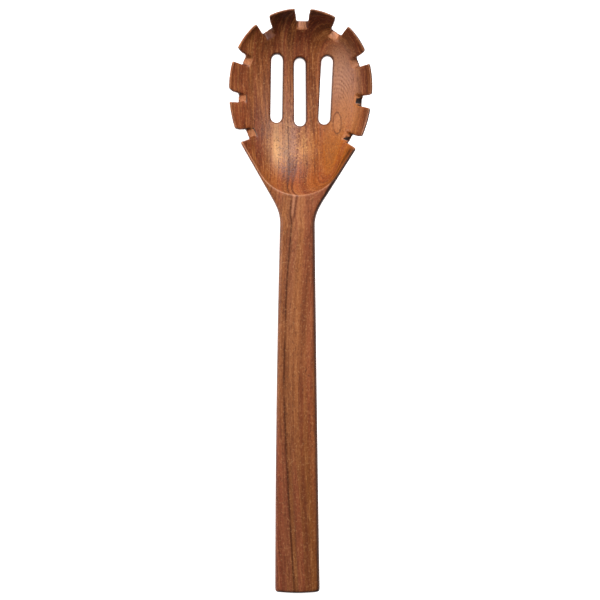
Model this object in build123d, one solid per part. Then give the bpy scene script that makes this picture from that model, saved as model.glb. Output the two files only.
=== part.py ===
"""Pasta server carved from one board of hardwood.

Millimetres. It lies on its back as on a table: +Z up, the hollow opens upward,
the teeth point toward +Y and the handle toward -Y.
"""

import os
from math import atan, cos, pi, radians, sin, sqrt, tan

from build123d import *

# Overall sizes
overall_length = 342.6
head_width = 83.8
head_height = 26.5
rest_cut = 1.0  # how far the bowl's round back is sanded flat

# Outline of the head, seen from above
tip_length = 46.0  # widest line to the tip
tip_power = 2.1  # two gives the tip an elliptical outline, more is squarer
belly_length = 57.6  # half axis of the ellipse below the widest line
shoulder_angle = 31.1  # straight shoulders against the head's line
head_lean_angle = 1.35  # the hand-cut head leans a little off the handle's line

# Hollow
rim_width = 1.5
hollow_depth = 20.5
hollow_end_radius = 26.4

# Neck and handle
neck_width = 20.4
neck_radius = 24.0
neck_straight = 13.0
handle_end_width = 26.5
handle_thickness = 12.0
handle_end_radius = 110.0
handle_bow = 0.4  # the middle of the handle lies this far left of its ends
swell_power = 0.73  # below one, the handle widens faster near the neck

# Form of the back: this share of its corner is an ellipse, more is squarer
head_fullness_share = 0.5523
handle_fullness_share = 0.88
blend_power = 3.0

# Edges
rim_round = 0.6
handle_round = 2.6
handle_end_round = 1.5
hollow_round = 0.4

# Slots in the floor of the bowl
slot_width = 6.8
slot_length = 40.5
slot_pitch = 14.5
slot_pitch_shares = (-0.98, -0.03, 1.02)
slot_lean_angles = (-0.6, -1.7, 1.4)  # the hand-cut slots are not quite parallel
slot_rise_shares = (0.02, -0.02, 0.01)  # their middles above the widest line, of a slot's length

# Notches between the teeth
notch_width = 6.0  # at the floor
notch_depth = 13.0  # rim down to the middle of the floor
notch_inset = 7.0  # outline in to the middle of the floor
notch_reach = 9.0  # floor on past its middle, clear of the hollow's wall
notch_flare = 3.9  # middle of the floor out to where the sides curve away
notch_flare_radius = 2.6
notch_tilt_angle = 8.0  # the floor falls outward
notch_taper_angle = 4.0

# One entry a notch: its place round the head and the way it is cut, from the
# head's line, and its width against the usual one
notch_place_angles = (0, 31, 64.5, 100, 132, -31, -65, -98, -129)
notch_cut_angles = (0, 33, 72, 102, 119, -31, -71, -88, -110)
notch_width_shares = (1.12, 1.12, 0.95, 1, 0.95, 1.08, 0.95, 0.85, 1)

overrun = 20.0  # cuts run past the wood by this much
match = 0.01  # an edge this close to a line lies on it

# Stations of the lofts, and pieces of their sections' corner and back
head_steps = 12
handle_steps = 4
head_pieces = (1, 1)
handle_pieces = (5, 7)
hollow_steps = 7
last_hollow_angle = 86.0  # the last small section falls inside the middle slot

half_head = head_width / 2
half_neck = neck_width / 2
full_depth = head_height + rest_cut
widest_y = overall_length - tip_length
shoulder_slope = tan(radians(shoulder_angle))
circle_share = 4 / 3 * tan(pi / 8)  # draws a quarter of a circle
tip_share = (8 / 2 ** (1 / tip_power) - 4) / 3  # draws a quarter of the tip's outline


def shoulder_start(half_width, length):
    """Half width, and drop below the widest line, where the ellipse runs straight on."""
    turn = atan(shoulder_slope * length / half_width)
    return half_width * cos(turn), length * sin(turn)


shoulder_half, shoulder_drop = shoulder_start(half_head, belly_length)
curve_half = half_neck + neck_radius * (1 - cos(radians(shoulder_angle)))
curve_drop = shoulder_drop + (shoulder_half - curve_half) / shoulder_slope
neck_drop = curve_drop + neck_radius * sin(radians(shoulder_angle))
neck_y = widest_y - neck_drop
head_place = Pos(0, neck_y, 0) * Rot(0, 0, -head_lean_angle) * Pos(0, widest_y - neck_y, head_height)


def head_half_width(drop):
    """Half width of the head at a drop below its widest line."""
    if drop <= shoulder_drop:
        return half_head * sqrt(1 - (drop / belly_length) ** 2)
    if drop <= curve_drop:
        return shoulder_half - (drop - shoulder_drop) * shoulder_slope
    return half_neck + neck_radius - sqrt(neck_radius**2 - (neck_drop - drop) ** 2)


def handle_half_width(y):
    """Half width of the handle: straight at the neck, then wider toward its end."""
    swell_length = neck_y - neck_straight
    swell = max(0, 1 - y / swell_length) ** swell_power
    return half_neck + (handle_end_width - neck_width) / 2 * swell


def top_height(y):
    """The flat top: level over the head, then an arc down to the end of the handle."""
    fall = head_height - handle_thickness
    radius = (neck_y**2 + fall**2) / (2 * fall)
    return head_height - radius + sqrt(radius**2 - (neck_y - y) ** 2)


def belly_curve(half_width, length, turn):
    """Start of an ellipse, from its widest point down through a turn."""
    reach = 4 / 3 * tan(turn / 4)
    end = (half_width * cos(turn), -length * sin(turn))
    before = (end[0] + reach * half_width * sin(turn), end[1] + reach * length * cos(turn))
    return Bezier((half_width, 0), (half_width, -reach * length), before, end)


def tip_curve(half_width, length):
    """Quarter of the tip's outline, from its widest point."""
    side, before = (half_width, tip_share * length), (tip_share * half_width, length)
    return Bezier((half_width, 0), side, before, (0, length))


def back_points(half_width, depth, top_round, fullness):
    """Points that draw the right half of the back, from the side down to the middle."""
    return [
        (half_width, 0, -top_round),
        (half_width, 0, -top_round - fullness * (depth - top_round)),
        (fullness * half_width, 0, -depth),
        (0, 0, -depth),
    ]


def corner_points(half_width, top_round):
    """Points that draw the rounded edge between the flat top and the right side."""
    shy = top_round * (1 - circle_share)
    return [
        (half_width - top_round, 0, 0),
        (half_width - shy, 0, 0),
        (half_width, 0, -shy),
        (half_width, 0, -top_round),
    ]


def pieces(curve, count):
    """A curve in shorter arcs, which keeps its lofted surface light."""
    return [curve.trim(step / count, (step + 1) / count) for step in range(count)]


def section(half_width, share, corner_pieces, back_pieces):
    """Outline across the body. The share is 1 over the bowl and 0 on the handle."""
    full, thin = full_depth**blend_power, handle_thickness**blend_power
    depth = (thin + (full - thin) * share**blend_power) ** (1 / blend_power)
    top_round = rim_round + (handle_round - rim_round) * (1 - share) ** 2
    fullness = head_fullness_share + (handle_fullness_share - head_fullness_share) * (1 - share) ** 2
    corner = Bezier(*corner_points(half_width, top_round))
    back = Bezier(*back_points(half_width, depth, top_round, fullness))
    right = pieces(corner, corner_pieces) + pieces(back, back_pieces)
    top = Line((top_round - half_width, 0, 0), (half_width - top_round, 0, 0))
    return make_face([top] + right + [mirror(curve, Plane.YZ) for curve in right])


def head_section(drop):
    """Section of the head at a drop below its widest line."""
    half_width = head_half_width(drop)
    share = (half_width - half_neck) / (half_head - half_neck)
    return head_place * Pos(0, -drop, 0) * section(half_width, share, *head_pieces)


def handle_section(y, curve_pieces):
    """Section of the handle at y, moved a little to the left between its ends."""
    bow = handle_bow * (1 - (2 * y / neck_y - 1) ** 2)
    return Pos(-bow, y, top_height(y)) * section(handle_half_width(y), 0, *curve_pieces)


def lower_head():
    """Widest line to the neck, lofted through sections across the head."""
    stations = [head_section(neck_drop * step / head_steps) for step in range(head_steps)]
    return loft(stations + [handle_section(neck_y, head_pieces)])


def handle():
    """Neck to past the handle's end, lofted through upright sections."""
    run = neck_y + overrun
    places = [neck_y - run * step / handle_steps for step in range(handle_steps + 1)]
    return loft([handle_section(y, handle_pieces) for y in places])


def tip_patch(points, side):
    """Surface on one side of the upper head: a section's points drawn round the tip's outline."""
    along = [(1, 0), (1, tip_share), (tip_share, 1), (0, 1)]
    return Face.make_bezier_surface(
        [[(side * across * x, up * tip_length * x / half_head, z) for x, _, z in points] for across, up in along]
    )


def cap():
    """Upper head: every section from its middle to the tip's outline is the widest section's half."""
    corner = corner_points(half_head, rim_round)
    back = back_points(half_head, full_depth, rim_round, head_fullness_share)
    patches = [tip_patch(points, side) for points in (corner, back) for side in (1, -1)]
    flat = 1 - rim_round / half_head
    rim = tip_curve(flat * half_head, flat * tip_length)
    top = make_face([rim, mirror(rim, Plane.YZ), Line(rim @ 0, mirror(rim, Plane.YZ) @ 0)])
    wall = section(half_head, 1, *head_pieces)
    return head_place * Solid(Shell(patches + [top.face(), wall.face()]))


def below_table():
    """Wood that is sanded off to give the back a flat to rest on."""
    return Pos(0, overall_length / 2, -overrun / 2) * Box(2 * head_width, 2 * overall_length, overrun)


def end_cut():
    """Wood beyond the handle's end, which is slightly bowed."""
    half_width = handle_end_width
    rise = handle_end_radius - sqrt(handle_end_radius**2 - half_width**2)
    bow = ThreePointArc((-half_width, rise), (0, 0), (half_width, rise))
    corners = [(half_width, -2 * overrun), (-half_width, -2 * overrun)]
    rest = Polyline((half_width, rise), *corners, (-half_width, rise))
    return Pos(0, 0, -overrun) * extrude(make_face([bow, rest]), head_height + 2 * overrun)


def hollow_outline(size):
    """Egg with straight shoulders and a round lower end, at a share of its full size."""
    half_width, tip = size * (half_head - rim_width), size * (tip_length - rim_width)
    belly, end_radius = size * (belly_length - rim_width), size * hollow_end_radius
    start_half, start_drop = shoulder_start(half_width, belly)
    lean = radians(shoulder_angle)
    centre_y = end_radius / sin(lean) - start_drop - start_half / shoulder_slope
    end_half, end_y = end_radius * cos(lean), centre_y - end_radius * sin(lean)
    side = belly_curve(half_width, belly, atan(shoulder_slope * belly / half_width))
    right = [tip_curve(half_width, tip), side, Line(side @ 1, (end_half, end_y))]
    end = ThreePointArc((end_half, end_y), (0, centre_y - end_radius), (-end_half, end_y))
    return make_face(right + [end] + [mirror(curve, Plane.YZ) for curve in right])


def hollow():
    """Outlines that shrink with depth as the sections of an ellipsoid do."""
    turns = [radians(last_hollow_angle) * step / hollow_steps for step in range(hollow_steps + 1)]
    outlines = [Pos(0, 0, -hollow_depth * sin(turn)) * hollow_outline(cos(turn)) for turn in turns]
    return head_place * loft(outlines)


def slots():
    """Three round-ended slots through the bowl's floor."""
    outline = SlotOverall(slot_length, slot_width, rotation=90)
    slot = Pos(0, 0, -full_depth - overrun) * extrude(outline, full_depth + 2 * overrun)
    cuts = []
    for across, rise, lean in zip(slot_pitch_shares, slot_rise_shares, slot_lean_angles):
        cuts.append(head_place * Pos(across * slot_pitch, rise * slot_length, 0) * Rot(0, 0, -lean) * slot)
    return cuts


def notch_outline(half_width):
    """Notch seen along its cut: inner end, straight sides, then sides that curve away."""
    flare_end = notch_flare + notch_flare_radius
    wide = half_width + notch_flare_radius
    swing = notch_flare_radius * sqrt(2) / 2
    flare_middle = (notch_flare + swing, wide - swing)
    inside = [(-notch_reach, -half_width), (-notch_reach, half_width)]
    inner = Polyline((notch_flare, -half_width), *inside, (notch_flare, half_width))
    flare = ThreePointArc((notch_flare, half_width), flare_middle, (flare_end, wide))
    outside = [(flare_end + overrun, wide), (flare_end + overrun, -wide)]
    outer = Polyline((flare_end, wide), *outside, (flare_end, -wide))
    return make_face([inner, flare, outer, mirror(flare, Plane.XZ)])


def rim_point(place_angle):
    """Point of the head's outline at an angle from the head's line."""
    turn = radians(place_angle)
    length, power = (tip_length, tip_power) if cos(turn) > 0 else (belly_length, 2)
    across, up = abs(sin(turn)) / half_head, abs(cos(turn)) / length
    reach = 1 / (across**power + up**power) ** (1 / power)
    return Vector(reach * sin(turn), reach * cos(turn), 0)


def notch(place_angle, cut_angle, width_share):
    """Cutter for one notch, wider toward the rim, its floor falling outward."""
    cut, tilt = radians(cut_angle), radians(notch_tilt_angle)
    outward = Vector(sin(cut), cos(cut), 0)
    middle = rim_point(place_angle) - outward * notch_inset - Vector(0, 0, notch_depth)
    along = outward * cos(tilt) - Vector(0, 0, sin(tilt))
    up = outward * sin(tilt) + Vector(0, 0, cos(tilt))
    floor = Plane(origin=middle, x_dir=along, z_dir=up)
    height = notch_depth + overrun
    half_width = notch_width * width_share / 2
    wider = height * tan(radians(notch_taper_angle))
    low = floor * notch_outline(half_width)
    high = floor.offset(height) * notch_outline(half_width + wider)
    return head_place * loft([low, high], ruled=True)


def edges_along(body, wire):
    """Edges of the body that lie on a wire."""
    return [edge for edge in body.edges() if wire.distance_to(edge @ 0.5) < match]


def head():
    """Bowl with its rounded rim, notches and slots."""
    body = lower_head() + cap() - hollow() - below_table()
    body = fillet(edges_along(body, (head_place * hollow_outline(1)).wire()), hollow_round)
    body -= [notch(*kind) for kind in zip(notch_place_angles, notch_cut_angles, notch_width_shares)]
    return body - slots()


def grip():
    """Handle with its rounded end."""
    body = handle() - end_cut()
    return fillet(body.faces().sort_by(Axis.Y)[0].edges(), handle_end_round)


def server_body():
    """Whole server, moved so that its footprint is centred on the origin."""
    body = head() + grip()
    tip_y = body.vertices().sort_by(Axis.Y)[-1].Y
    return Pos(-(widest_y - neck_y) * sin(radians(head_lean_angle)), -tip_y / 2, 0) * body


os.makedirs("parts", exist_ok=True)
export_step(server_body(), "parts/server_body.step")
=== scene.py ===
"""Pasta server in oiled brown hardwood, seen from straight above on a pale floor."""

import bmesh
import bpy
import numpy as np
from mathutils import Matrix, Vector


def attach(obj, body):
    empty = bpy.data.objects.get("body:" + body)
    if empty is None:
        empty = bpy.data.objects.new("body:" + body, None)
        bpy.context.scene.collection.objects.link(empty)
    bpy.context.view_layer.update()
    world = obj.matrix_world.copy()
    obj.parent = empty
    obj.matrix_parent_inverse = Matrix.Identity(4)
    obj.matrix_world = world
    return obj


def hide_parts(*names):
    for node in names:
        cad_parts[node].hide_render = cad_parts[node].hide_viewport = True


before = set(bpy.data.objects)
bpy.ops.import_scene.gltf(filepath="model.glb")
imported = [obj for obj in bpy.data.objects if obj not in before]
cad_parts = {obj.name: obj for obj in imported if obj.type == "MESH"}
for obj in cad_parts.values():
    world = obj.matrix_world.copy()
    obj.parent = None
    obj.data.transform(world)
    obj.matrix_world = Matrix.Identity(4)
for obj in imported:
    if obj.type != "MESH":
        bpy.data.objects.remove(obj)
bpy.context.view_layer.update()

MILLIMETRES = 1000.0  # in a metre

# Carved body: how finely it is worked and merged, in metres, and how it is sanded
GRAIN_OF_MESH = 0.00069
MERGE_DISTANCE = 1e-6
SANDING_PASSES = 6
SANDING_SHARE = 0.5

# Picture: the camera stands over the middle of the server, in metres
EYE_HEIGHT = 1.15
PICTURE_WIDTH = 0.3486
RIM_HEIGHT = 0.0265
EYE_X = -0.0004
EYE_Y = 0.0015
SENSOR_WIDTH = 36.0  # in millimetres

# Stage: the floor's half width and its drop below the server, in metres, its light and the lamps
FLOOR_HALF = 12.0
FLOOR_DROP = 0.0003
FLOOR_SHADES = ((0.86, 0.86, 0.86, 1), (0.9, 0.9, 0.9, 1))
FLOOR_GLOW = 0.95
SKY_GLOW = 0.12
LAMPS = (
    # name, place, size, power
    ("window", (0.4, 0.95, 1.05), 0.7, 21.5),
    ("side", (-1.2, 0.35, 0.75), 0.6, 9.0),
)

# From here on, lengths and places in the wood are in millimetres.
# The dark ring's place across the board at the height of the rim: a sum of rising powers of
# the distance along the board in tenths of a metre
RING_BEND = (-8.44, 3.18, 7.19, -0.89, -1.33)
NECK_JOG = 1.35  # the dark ring steps this far to the left along the neck
HEART_X = 21.0  # the tree's heart, right of the dark ring
HEART_HEIGHT = 7.2  # at the small oval
HEART_RISE = 0.19  # the heart rises by this share of the way back toward the handle
HEART_LEVEL = -30.0  # and is level from here on, counted from the small oval

# Stretches of the board over which one look gives way to the next
HANDLE_DARKENS = (36.0, 130.0)  # counted toward the handle's end
REDNESS_ENDS = (20.0, 56.0)
NECK_BEGINS = (46.0, 52.0)
NECK_ENDS = (60.0, 82.0)
SECOND_RING_BEGINS = (45.0, 51.0)
PALE_STRIP_BEGINS = (50.0, 53.0)
PALE_STRIP_ENDS = (62.0, 66.0)
SHOULDER_BEGINS = (52.0, 57.0)
SHOULDER_ENDS = (88.0, 91.0)
BOWL_BEGINS = (66.0, 84.0)
GREY_BEGINS = (76.0, 94.0)
NOTCHES_BEGIN = (84.0, 88.0)
LOW_RIM_ENDS = (88.0, 100.0)
RINGS_FADE = (98.0, 122.0)
LOW_NOTCHES_END = (126.0, 134.0)
TIP_BEGINS = (146.0, 156.0)

# The second dark ring leaves the first by these widths, over these stretches of the board
RING_GAPS = (((45.0, 52.0), 2.1), ((52.0, 112.0), 4.4))

# Lines along the rings: how far from their ring or from the middle of the gap, and how wide
FIRST_RING_LINE = (0.0, 0.5)
SECOND_RING_LINE = (0.0, 0.6)
GAP_BAND = (0.0, 2.4)
PALE_STRIP = (0.0, 0.5)
PALE_LINE = (-1.6, 0.6)
FURTHER_STRIPE = (8.4, 1.0)

# The small oval on the bowl's right wall, and the arcs above it
EYE_PLACE = (21.4, 106.0, 12.0)
EYE_SHARES = (1.0, 0.38, 0.3)
EYE_LINE = (2.4, 0.22)
EYE_FILLING = (2.6, 1.2)
ARC_RATE = 6.6  # radians of the arcs' wave in a millimetre
ARCS_SPOT = ((25.0, 127.0, 14.0), (11.0, 20.0, 20.0))

# Each slot's middle, and how far it leans to the right for each millimetre up the bowl
SLOTS = ((-14.2, 126.5, 0.013), (-0.4, 124.6, -0.006), (14.8, 125.4, 0.048))
SLOT_HALF_WIDTH = 3.4
SLOT_STRAIGHT = 16.8  # from a slot's middle to where its end turns round
SLOT_SHADE = 1.5  # the width of the dark edge round each slot

# The right shoulder's straight outline: where it starts, and which way is in from it
SHOULDER_TOP = (29.8, 91.0)
SHOULDER_INWARD = (-0.877, 0.479)

OVER_BOWL = (0.0, 118.0, 40.0)  # the hollow's walls all face this place
NOTCH_FLOORS = (13.5, 3.0)  # how high they lie, and how far from there they are still floors
# Painted shadow in two notches low on the right: their middles and reach
SHADOWED_NOTCHES = ((34.5, 118.5, 14.0), (29.0, 95.5, 15.0))
SHADOWED_NOTCH_REACH = (6.0, 6.0, 11.0)
UPPER_LEFT_NOTCH_SPOT = ((-20.0, 155.0, 14.0), (10.0, 10.0, 14.0))
MOTTLED_SPOT = ((-6.0, 94.0, 10.0), (24.0, 34.0, 30.0))
BUMP_HEIGHT = 0.0003  # in metres

# Colours are as the screen shows them, from 0 to 255
# Painted shade toward the handle's end, where the window's light falls off
HANDLE_END_SHADE = (108, 54, 28)
REDDER_WOOD = (150, 80, 54)
RUDDY_STREAK = (162, 78, 54)
TAN_STREAK = (160, 98, 44)
FIRST_RING_WOOD = (84, 38, 17)
SECOND_RING_WOOD = (100, 46, 28)
GAP_GREY = (160, 108, 90)
GAP_BROWN = (112, 58, 30)
PALE_STRIP_WOOD = (206, 140, 104)
PALE_LINE_WOOD = (206, 150, 104)
STRIPE_WOOD = (110, 50, 28)
ARC_WOOD = (112, 58, 34)
EYE_WOOD = (200, 132, 84)
EYE_LINE_WOOD = (84, 40, 22)
PORE = (62, 26, 12)
# Pale flecks of the wood, also painted glints of sheen low in the bowl
PALE_FLECK_AND_GLINT = (226, 164, 108)
DARK_FLECK = (88, 40, 20)
# Painted highlights on edges, on the hollow's low rim and on the rim of the teeth at the tip
EDGE_HIGHLIGHT = (226, 158, 114)
LOW_RIM_HIGHLIGHT = (228, 160, 118)
TIP_RIM_HIGHLIGHT = (196, 136, 108)
# Pale end grain and painted light on the notches' floors
END_GRAIN_AND_LIGHT = (206, 134, 90)
# Painted shade in creases and hollow corners
CREASE_SHADE = (50, 22, 12)
# Painted shade on steep sides and on edges facing right or the handle, with the darker oiled end grain of
# cut sides
EDGE_SHADE_AND_OIL = (48, 21, 10)
# Painted shadow on the notch floors low on the right
FLOOR_SHADOW = (34, 14, 8)
# Darker floor of the notch on the upper left
DARK_LEFT_FLOOR = (104, 58, 48)
# Painted shadow in the two notches low on the right
NOTCH_SHADOW = (40, 17, 9)
# Painted shade round each slot
SLOT_EDGE_SHADE = (60, 27, 14)

GROWTH_COLOURS = (
    # distance from the dark ring, rising toward the heart, and the colour there
    (-30, (142, 78, 40)),
    (-14, (152, 86, 44)),
    (-6, (146, 78, 44)),
    (-3, (172, 104, 62)),
    (-1.2, (162, 94, 60)),
    (0.6, (152, 88, 56)),
    (2.5, (160, 96, 60)),
    (4.5, (166, 98, 56)),
    (8, (156, 88, 46)),
    (11, (146, 80, 40)),
    (15, (164, 88, 36)),
    (20, (164, 92, 48)),
    (24, (170, 102, 60)),
)

PLACED_COLOURS = (
    # colour, middle, reach, strength
    ((72, 28, 6), (-2.0, 170.0, 24.0), (64.0, 44.0, 60.0), 0.95),  # dark heartwood at the teeth
    ((122, 58, 32), (-26.0, 90.0, 18.0), (13.0, 34.0, 20.0), 0.7),  # dark left shoulder
    ((240, 178, 118), (-12.0, 92.0, 12.0), (10.0, 29.0, 30.0), 1.0),  # pale wood and painted sheen low on the left
    ((110, 54, 28), (7.5, 125.0, 6.0), (7.0, 34.0, 20.0), 0.75),  # dark bar between two slots
    ((188, 100, 20), (21.0, 89.0, 16.0), (22.0, 26.0, 20.0), 0.85),  # orange right shoulder
    ((214, 146, 90), (0.0, 92.0, 8.0), (9.0, 22.0, 20.0), 0.85),  # pale wood and painted sheen in the middle below the slots
    ((172, 92, 32), (-5.0, 73.0, 16.0), (26.0, 18.0, 20.0), 0.9),  # orange low end of the hollow
    ((196, 124, 80), (-2.0, 58.0, 24.0), (20.0, 24.0, 20.0), 0.5),  # pale neck
    ((190, 120, 72), (0.0, -25.0, 22.0), (30.0, 60.0, 30.0), 0.3),  # pale middle of the handle
)

PINK_PLACES = (
    # colour, middle, reach, strength
    ((204, 148, 120), (23.0, 133.5, 16.0), (15.0, 28.0, 24.0), 0.85),  # pink wood and painted sheen on the upper right wall
    ((194, 118, 60), (29.0, 113.0, 16.0), (12.0, 24.0, 24.0), 0.7),  # orange below it
)

OIL_AND_SHEEN_PLACES = (
    # what is left of red, green and blue, middle, reach: above 1 the wood is paler, and low in the bowl
    # that is painted sheen
    ((0.84, 0.72, 0.52), (-2.0, 168.0, 24.0), (60.0, 36.0, 60.0)),  # toward the teeth
    ((0.88, 0.72, 0.42), (-4.0, 73.0, 16.0), (30.0, 15.0, 20.0)),  # low end of the hollow
    ((0.95, 0.9, 0.55), (22.0, 84.0, 16.0), (18.0, 24.0, 22.0)),  # right shoulder
    ((0.94, 0.85, 0.7), (-30.0, 100.0, 18.0), (14.0, 40.0, 22.0)),  # left wall
    ((0.9, 0.86, 0.5), (10.0, 89.0, 8.0), (11.0, 17.0, 22.0)),  # right of the pale middle
    ((0.78, 0.6, 0.4), (-6.5, 76.0, 14.0), (6.0, 13.0, 16.0)),  # between the two dark rings
    ((1.16, 1.18, 1.08), (-12.0, 88.0, 10.0), (8.0, 15.0, 20.0)),  # painted sheen on the pale patch low on the left
    ((1.25, 1.34, 1.08), (0.0, 92.0, 8.0), (7.0, 15.0, 20.0)),  # painted sheen on the pale middle below the slots
    ((1.6, 1.8, 1.8), (-28.0, 152.0, 22.0), (13.0, 13.0, 14.0)),  # upper left tooth
)


def tint(red, green, blue):
    """A screen colour of 0 to 255 as the light that Blender mixes."""
    screen = np.array((red, green, blue)) / 255
    light = np.where(screen > 0.04045, ((screen + 0.055) / 1.055) ** 2.4, screen / 12.92)
    return (*(float(part) for part in light), 1.0)


class Socket:
    """One socket of a material's nodes, so that sums on it add its maths nodes."""

    def __init__(self, tree, socket):
        self.tree, self.socket = tree, socket

    def node(self, kind, settings=None, inputs=None, output=0):
        """A node of a kind, with its settings first and then its sockets."""
        made = self.tree.nodes.new("ShaderNode" + kind)
        for name, value in (settings or {}).items():
            if name == "stops":
                stops = made.color_ramp.elements
                while len(stops) < len(value):
                    stops.new(1.0)
                for stop, (place, colour) in zip(stops, value):
                    stop.position, stop.color = place, colour
            else:
                setattr(made, name, value)
        for name, value in (inputs or {}).items():
            if isinstance(value, Socket):
                self.tree.links.new(value.socket, made.inputs[name])
            else:
                made.inputs[name].default_value = value
        return Socket(self.tree, made.outputs[output])

    def maths(self, operation, *others):
        """A maths node on this number and others."""
        return self.node("Math", {"operation": operation}, dict(enumerate((self, *others))))

    def vector(self, operation, *others, output=0):
        """A vector maths node on this vector and others."""
        return self.node("VectorMath", {"operation": operation}, dict(enumerate((self, *others))), output)

    def __add__(self, other):
        return self.maths("ADD", other)

    def __radd__(self, other):
        return self + other

    def __sub__(self, other):
        return self.maths("SUBTRACT", other)

    def __rsub__(self, other):
        return self.node("Math", {"operation": "SUBTRACT"}, {0: other, 1: self})

    def __mul__(self, other):
        return self.maths("MULTIPLY", other)

    def __rmul__(self, other):
        return self * other

    def __truediv__(self, other):
        return self.maths("DIVIDE", other)

    def root(self):
        """The square root of this number."""
        return self.maths("SQRT")

    def at_least(self, low):
        """This number, but never below low."""
        return self.maths("MAXIMUM", low)

    def at_most(self, high):
        """This number, but never above high."""
        return self.maths("MINIMUM", high)

    def between(self, low, high):
        """Rises smoothly from 0 at low to 1 at high."""
        settings = {"interpolation_type": "SMOOTHSTEP"}
        return self.node("MapRange", settings, {"Value": self, "From Min": low, "From Max": high})

    def line(self, centre, width):
        """A soft line: 1 at the centre, falling to about a third at its width."""
        away = (self - centre) / width
        return (away * away * -1.0).maths("EXPONENT")

    def noise(self, scale, detail=2.0, roughness=0.5, seed=0.0):
        """Noise on this vector, from about 0.3 to 0.7."""
        inputs = {"Vector": self, "W": seed, "Scale": scale, "Detail": detail, "Roughness": roughness}
        return self.node("TexNoise", {"noise_dimensions": "4D"}, inputs)

    def parts(self):
        """The three parts of this vector."""
        split = self.node("SeparateXYZ", inputs={"Vector": self}).socket.node
        return tuple(Socket(self.tree, part) for part in split.outputs)

    def stretch(self, x, y, z):
        """This vector with its three parts drawn out or pressed."""
        return self.vector("MULTIPLY", (x, y, z))

    def length(self):
        """How long this vector is."""
        return self.vector("LENGTH", output=1)

    def spot(self, middle, reach):
        """Soft round or long patch on a place: 1 in its middle, 0 beyond its reach."""
        away = self.vector("SUBTRACT", middle).stretch(*(1 / side for side in reach))
        return 1.0 - away.length().between(0.0, 1.0)

    def mix(self, colour, share, blend="MIX"):
        """This colour mixed with a screen colour, or multiplied by shares of red, green and blue."""
        settings = {"data_type": "RGBA", "blend_type": blend}
        other = tint(*colour) if blend == "MIX" else (*colour, 1.0)
        return self.node("Mix", settings, {0: share, 6: self, 7: other}, output=2)


def new_material(name):
    """An empty material with its shader, and its place on the piece in millimetres."""
    material = bpy.data.materials.new(name)
    material.use_nodes = True
    tree = material.node_tree
    shader = tree.nodes["Principled BSDF"]
    place = Socket(tree, None).node("TexCoord", output=3)
    return material, shader, place.stretch(MILLIMETRES, MILLIMETRES, MILLIMETRES)


def finish_shader(shader, **inputs):
    """Puts values and links into the shader's sockets."""
    for name, value in inputs.items():
        socket = shader.inputs[name.replace("_", " ")]
        if isinstance(value, Socket):
            value.tree.links.new(value.socket, socket)
        else:
            socket.default_value = value


def growth_rings(place, wander):
    """Distance from the dark ring: circles round the tree's heart, which bends along the board."""
    x, y, z = place.parts()
    along = y * 0.01
    bend = RING_BEND[-1]
    for share in reversed(RING_BEND[:-1]):
        bend = along * bend + share
    bend = bend - y.between(*NECK_BEGINS) * (1.0 - y.between(*NECK_ENDS)) * NECK_JOG
    heart_z = HEART_HEIGHT - HEART_RISE * (y - EYE_PLACE[1]).at_least(HEART_LEVEL)
    across, down = x - bend - HEART_X, z - heart_z
    rim_down = RIM_HEIGHT * MILLIMETRES - heart_z
    reach = (across * across + down * down).root()
    dark_reach = (rim_down * rim_down + HEART_X**2).root()
    return dark_reach - reach + wander


def grown_colour(place, rings):
    """The growth rings' own colours, the darker, paler and redder wood of this board, painted shade
    toward the handle's end and painted sheen low in the bowl.
    """
    y = place.parts()[1]
    low, high = GROWTH_COLOURS[0][0], GROWTH_COLOURS[-1][0]
    share = rings.node("MapRange", None, {"Value": rings, "From Min": low, "From Max": high})
    stops = [((ring - low) / (high - low), tint(*colour)) for ring, colour in GROWTH_COLOURS]
    colour = share.node("ValToRGB", {"stops": stops}, {"Fac": share})

    # Painted shade, darker toward the end of the handle where the window's light falls off; redder wood
    # along the handle's left side
    left_side = rings.between(0.5, -1.5) * (1.0 - y.between(*REDNESS_ENDS))
    colour = colour.mix(HANDLE_END_SHADE, (-1.0 * y).between(*HANDLE_DARKENS) * 0.42)
    colour = colour.mix(REDDER_WOOD, left_side * 0.6)
    return add_places(colour, place, PLACED_COLOURS)


def add_places(colour, place, rows):
    """Soft patches of other colours, each on its own place in the wood."""
    for placed, middle, reach, strength in rows:
        colour = colour.mix(placed, place.spot(middle, reach) * strength)
    return colour


def add_streaks(colour, fine, broad, contour, ruddy, streaky):
    """Streaks that run with the rings: ruddy and tan ones, then dark and pale ones where streaky."""
    colour = colour.mix(RUDDY_STREAK, ruddy.between(0.5, 0.62) * 0.4)
    colour = colour.mix(TAN_STREAK, (1.0 - ruddy).between(0.5, 0.62) * 0.35)
    for streak, pattern, start, full, strength in (
        ((106, 48, 24), broad, 0.5, 0.7, 0.55),
        ((204, 138, 78), 1.0 - broad, 0.52, 0.74, 0.45),
        ((104, 48, 26), contour, 0.52, 0.6, 0.44),
        ((80, 34, 16), fine, 0.5, 0.64, 0.6),
        ((214, 142, 88), 1.0 - fine, 0.52, 0.68, 0.52),
    ):
        colour = colour.mix(streak, pattern.between(start, full) * streaky * strength)
    return colour


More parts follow.
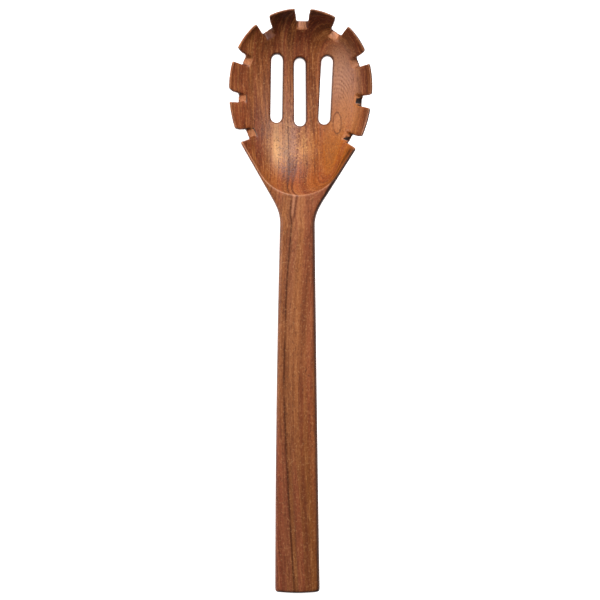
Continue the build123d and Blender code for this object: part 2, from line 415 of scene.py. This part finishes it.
def add_dark_rings(colour, place, rings, bowl):
    """Two dark rings that meet at the neck, the wood beside and between them, and a further stripe."""
    y = place.parts()[1]
    faint = place.stretch(1.0, 0.3, 1.0).noise(0.12, seed=9.0)
    low_gap, high_gap = (y.between(*stretch) * width for stretch, width in RING_GAPS)
    gap = low_gap + high_gap
    middle = rings - gap * 0.5
    fade = 1.0 - y.between(*RINGS_FADE)
    grey = y.between(*GREY_BEGINS)
    band = middle.line(*GAP_BAND) * bowl * fade
    first = rings.line(*FIRST_RING_LINE) * faint.between(0.3, 0.46) * fade
    second = (rings - gap).line(*SECOND_RING_LINE) * fade * y.between(*SECOND_RING_BEGINS)
    pale_strip = middle.line(*PALE_STRIP) * y.between(*PALE_STRIP_BEGINS)
    pale_strip = pale_strip * (1.0 - y.between(*PALE_STRIP_ENDS))
    stripe = rings.line(*FURTHER_STRIPE) * faint.between(0.35, 0.6) * (1.0 - bowl)
    colour = colour.mix(PALE_LINE_WOOD, rings.line(*PALE_LINE) * bowl * 0.3)
    colour = colour.mix(GAP_GREY, band * grey * 0.85)
    colour = colour.mix(GAP_BROWN, band * (1.0 - grey) * 0.7)
    colour = colour.mix(FIRST_RING_WOOD, first * 0.92)
    colour = colour.mix(SECOND_RING_WOOD, second * 0.8)
    colour = colour.mix(PALE_STRIP_WOOD, pale_strip * 0.7)
    return colour.mix(STRIPE_WOOD, stripe * 0.6)


def add_pink_wall(colour, place, wander):
    """The pink patch on the bowl's right wall, pink wood with painted sheen, with its arcs and the small
    oval round the heart.
    """
    colour = add_places(colour, place, PINK_PLACES)
    eye = place.vector("SUBTRACT", EYE_PLACE).stretch(*EYE_SHARES).length() + wander
    arcs = (eye * ARC_RATE).maths("SINE") * 0.5 + 0.5
    colour = colour.mix(ARC_WOOD, arcs * place.spot(*ARCS_SPOT) * 0.5)
    colour = colour.mix(EYE_WOOD, eye.between(*EYE_FILLING) * 0.4)
    return colour.mix(EYE_LINE_WOOD, eye.line(*EYE_LINE) * 0.75)


def add_edge_light_and_shade(colour, place, facing, ripple, fine):
    """Painted highlights on edges and rims, pale end grain and painted light on the notches' floors, and
    painted shade in creases, on notch floors and in notches low on the right, and on the steep cut sides,
    which are also darker with oil.
    """
    y, z = place.parts()[1:]
    sideways, tipward, upward = facing.parts()
    downward = tipward * -1.0
    edge = place.node("NewGeometry", output="Pointiness")
    inward = place.node("VectorMath", {"operation": "SUBTRACT"}, {0: OVER_BOWL, 1: place})
    inward = facing.vector("DOT_PRODUCT", inward.vector("NORMALIZE"), output=1)
    off_wall = 1.0 - inward.between(0.3, 0.45)

    # Painted shade on the steep sides, with the darker oiled end grain of cut sides: most where they face
    # right or the handle, and not in the hollow
    steep = (1.0 - upward + sideways * 0.2).between(0.06, 0.36) * upward.between(-0.1, 0.1)
    steep = steep * (1.0 - inward.between(0.15, 0.55))
    steep = steep * (sideways.between(-0.3, 0.3) * 0.35 + downward.between(0.3, 0.8) * 0.35 + 0.4)
    steep = steep.at_most(0.95)
    colour = colour.mix(EDGE_HIGHLIGHT, edge.between(0.53, 0.6) * (1.0 - steep) * 0.5)
    # Painted shade in creases
    colour = colour.mix(CREASE_SHADE, (1.0 - edge).between(0.53, 0.6) * 0.5)

    # Painted highlights: the low rim of the hollow, and the outer rim of the teeth at the tip
    low_rim = edge.between(0.51, 0.56) * inward.between(0.32, 0.5) * (1.0 - y.between(*LOW_RIM_ENDS))
    tip_rim = edge.between(0.505, 0.54) * tipward.between(0.05, 0.3) * y.between(*TIP_BEGINS)
    colour = colour.mix(LOW_RIM_HIGHLIGHT, low_rim * 0.6)
    colour = colour.mix(TIP_RIM_HIGHLIGHT, tip_rim * off_wall * 0.55)

    # Pale end grain and painted light on the floors of the notches; painted shadow on the floors low on
    # the right, and darker floors on the upper left
    floors = upward.between(0.93, 0.975) * z.line(*NOTCH_FLOORS) * y.between(*NOTCHES_BEGIN)
    low_right = sideways.between(0.09, 0.13) * (1.0 - y.between(*LOW_NOTCHES_END))
    colour = colour.mix(END_GRAIN_AND_LIGHT, floors * (ripple * 0.9 + fine.between(0.42, 0.6) * 0.5 - 0.1))
    colour = colour.mix(FLOOR_SHADOW, floors * low_right)
    colour = colour.mix(DARK_LEFT_FLOOR, floors * place.spot(*UPPER_LEFT_NOTCH_SPOT))
    # Painted shadow in the two notches low on the right
    for notch in SHADOWED_NOTCHES:
        shade = place.spot(notch, SHADOWED_NOTCH_REACH).between(0.0, 0.5) * (1.0 - inward.between(0.15, 0.5))
        colour = colour.mix(NOTCH_SHADOW, shade * 0.9)

    # Painted shade: a dark outline on the edges that face right or the handle
    colour = colour.mix(EDGE_SHADE_AND_OIL, steep)
    outline = edge.between(0.505, 0.53) * (sideways + downward * 0.8).between(0.0, 0.12)
    return colour.mix(EDGE_SHADE_AND_OIL, outline * upward.between(0.0, 0.3) * off_wall * 0.85)


def add_shade_lines(colour, place, facing, bowl):
    """Thin dark lines of painted shade: in from the right shoulder's outline, and round each slot."""
    x, y, _ = place.parts()
    upward = facing.parts()[2]
    # Painted shade: a thin dark line in from the right shoulder's outline
    from_edge = (x - SHOULDER_TOP[0]) * SHOULDER_INWARD[0] + (y - SHOULDER_TOP[1]) * SHOULDER_INWARD[1]
    on_shoulder = y.between(*SHOULDER_BEGINS) * (1.0 - y.between(*SHOULDER_ENDS))
    on_shoulder = on_shoulder * upward.between(0.2, 0.6)
    colour = colour.mix(EDGE_SHADE_AND_OIL, (1.0 - from_edge.between(0.2, 1.3)) * on_shoulder * 0.85)
    # Painted shade round each slot
    for middle_x, middle_y, lean in SLOTS:
        up = y - middle_y
        across = x - middle_x - up * lean
        past = (up.maths("ABSOLUTE") - SLOT_STRAIGHT).at_least(0.0)
        from_slot = (across * across + past * past).root()
        near = from_slot.between(SLOT_HALF_WIDTH + SLOT_SHADE, SLOT_HALF_WIDTH)
        colour = colour.mix(SLOT_EDGE_SHADE, near * bowl * 0.75)
    return colour


def hardwood():
    """Oiled brown hardwood: growth rings round the tree's heart, streaks, pores, ripple and oil, and
    painted light and shade.
    """
    material, shader, place = new_material("oiled_hardwood")
    _, y, z = place.parts()
    facing = place.node("NewGeometry", output="Normal")
    wander = (place.stretch(1.0, 0.15, 1.0).noise(0.07, seed=3.0) - 0.5) * 2.0
    rings = growth_rings(place, wander)
    bowl = y.between(*BOWL_BEGINS)
    mottled = place.spot(*MOTTLED_SPOT)
    streaky = (bowl * 0.45 + 0.55) * (1.0 - rings.between(15.0, 22.0) * 0.65) * (1.0 - mottled * 0.4)

    # Patterns that run with the rings, drawn out along the board
    ring_place = place.node("CombineXYZ", inputs={0: rings, 1: y * 0.03, 2: z * 0.1})
    fine_place = place.node("CombineXYZ", inputs={0: rings, 1: y * 0.06, 2: z * 0.1})
    contour_place = place.node("CombineXYZ", inputs={0: rings, 1: y * 0.006})
    broad = ring_place.noise(0.3, detail=3.0, roughness=0.6, seed=1.0)
    fine = fine_place.noise(1.3, detail=3.0, roughness=0.65, seed=2.0)
    contour = contour_place.noise(0.75, detail=1.0, seed=11.0)
    ruddy = ring_place.noise(0.22, detail=1.0, seed=6.0)

    colour = grown_colour(place, rings)
    colour = add_streaks(colour, fine, broad, contour, ruddy, streaky)
    colour = add_dark_rings(colour, place, rings, bowl)
    colour = add_pink_wall(colour, place, wander)

    # Pores: short dark dashes along the grain
    pores = place.stretch(2.4, 0.25, 2.4).noise(1.5, detail=1.0, seed=7.0).between(0.62, 0.68)
    colour = colour.mix(PORE, pores * 0.6)

    # Ripple: small bright and dark flecks of the wood, strongest on the pale patches low in the bowl,
    # where the bright ones are also painted glints of sheen
    ripple = place.stretch(0.95, 0.8, 1.0).noise(1.0, roughness=0.7, seed=5.0)
    lively = mottled * 0.56 + 0.34
    colour = colour.mix(PALE_FLECK_AND_GLINT, ripple.between(0.52, 0.74) * lively)
    colour = colour.mix(DARK_FLECK, (1.0 - ripple).between(0.52, 0.7) * lively)

    for oil, middle, reach in OIL_AND_SHEEN_PLACES:
        colour = colour.mix(oil, place.spot(middle, reach), "MULTIPLY")
    colour = add_edge_light_and_shade(colour, place, facing, ripple, fine)
    colour = add_shade_lines(colour, place, facing, bowl)

    height = fine * 0.5 + broad * 0.2 + ripple * 0.5 - pores * 0.6
    bump = height.node("Bump", inputs={"Strength": 0.5, "Distance": BUMP_HEIGHT, "Height": height})
    rough = 0.44 + pores * 0.2 + (ripple - 0.5) * 0.4
    finish_shader(shader, Base_Color=colour, Roughness=rough, Normal=bump, Specular_IOR_Level=0.3)
    return material


def carved_body():
    """The carved solid's own surface, merged, worked evenly and sanded so that its edges are soft."""
    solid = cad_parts["server_body"]
    mesh = solid.data.copy()
    body = bpy.data.objects.new("carved_wood", mesh)
    bpy.context.scene.collection.objects.link(body)
    work = bmesh.new()
    work.from_mesh(mesh)
    bmesh.ops.remove_doubles(work, verts=work.verts, dist=MERGE_DISTANCE)
    work.to_mesh(mesh)
    work.free()
    remesh = body.modifiers.new("even", "REMESH")
    remesh.mode = "VOXEL"
    remesh.voxel_size = GRAIN_OF_MESH
    remesh.use_smooth_shade = True
    sand = body.modifiers.new("sand", "SMOOTH")
    sand.factor = SANDING_SHARE
    sand.iterations = SANDING_PASSES
    shaped = bpy.data.meshes.new_from_object(body.evaluated_get(bpy.context.evaluated_depsgraph_get()))
    body.modifiers.clear()
    body.data = shaped
    shaped.shade_smooth()
    shaped.materials.clear()
    shaped.materials.append(hardwood())
    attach(body, "root")
    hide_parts("server_body")


def pale_floor():
    """A wide white sheet under the server, which glows so that it stays white."""
    half, low = FLOOR_HALF, -FLOOR_DROP
    corners = [(x * half, y * half, low) for x, y in ((-1, -1), (1, -1), (1, 1), (-1, 1))]
    mesh = bpy.data.meshes.new("floor")
    mesh.from_pydata(corners, [], [(0, 1, 2, 3)])
    floor = bpy.data.objects.new("floor", mesh)
    bpy.context.scene.collection.objects.link(floor)
    material, shader, place = new_material("white_sheet")
    shades = {0: place.noise(0.01, seed=4.0), 6: FLOOR_SHADES[0], 7: FLOOR_SHADES[1]}
    sheet = place.node("Mix", {"data_type": "RGBA"}, shades, output=2)
    finish_shader(shader, Base_Color=sheet, Roughness=0.9)
    finish_shader(shader, Emission_Color=(1, 1, 1, 1), Emission_Strength=FLOOR_GLOW)
    mesh.materials.append(material)


def studio():
    """White surroundings, a large soft window beyond the tip and a weaker light on the left."""
    world = bpy.data.worlds.new("studio")
    world.use_nodes = True
    sky = world.node_tree.nodes["Background"].inputs
    sky["Color"].default_value = (1, 1, 1, 1)
    sky["Strength"].default_value = SKY_GLOW
    bpy.context.scene.world = world
    for name, place, size, power in LAMPS:
        light = bpy.data.lights.new(name, "AREA")
        light.size, light.energy = size, power
        lamp = bpy.data.objects.new(name, light)
        bpy.context.scene.collection.objects.link(lamp)
        lamp.location = place
        lamp.rotation_euler = Vector(place).to_track_quat("Z", "Y").to_euler()


def camera():
    """Straight above, the teeth at the top of the picture."""
    lens = bpy.data.cameras.new("eye")
    lens.sensor_width = SENSOR_WIDTH
    lens.lens = SENSOR_WIDTH * (EYE_HEIGHT - RIM_HEIGHT) / PICTURE_WIDTH
    eye = bpy.data.objects.new("eye", lens)
    bpy.context.scene.collection.objects.link(eye)
    eye.location = (EYE_X, EYE_Y, EYE_HEIGHT)
    bpy.context.scene.camera = eye


bpy.context.scene.view_settings.view_transform = "Standard"
carved_body()
pale_floor()
studio()
camera()
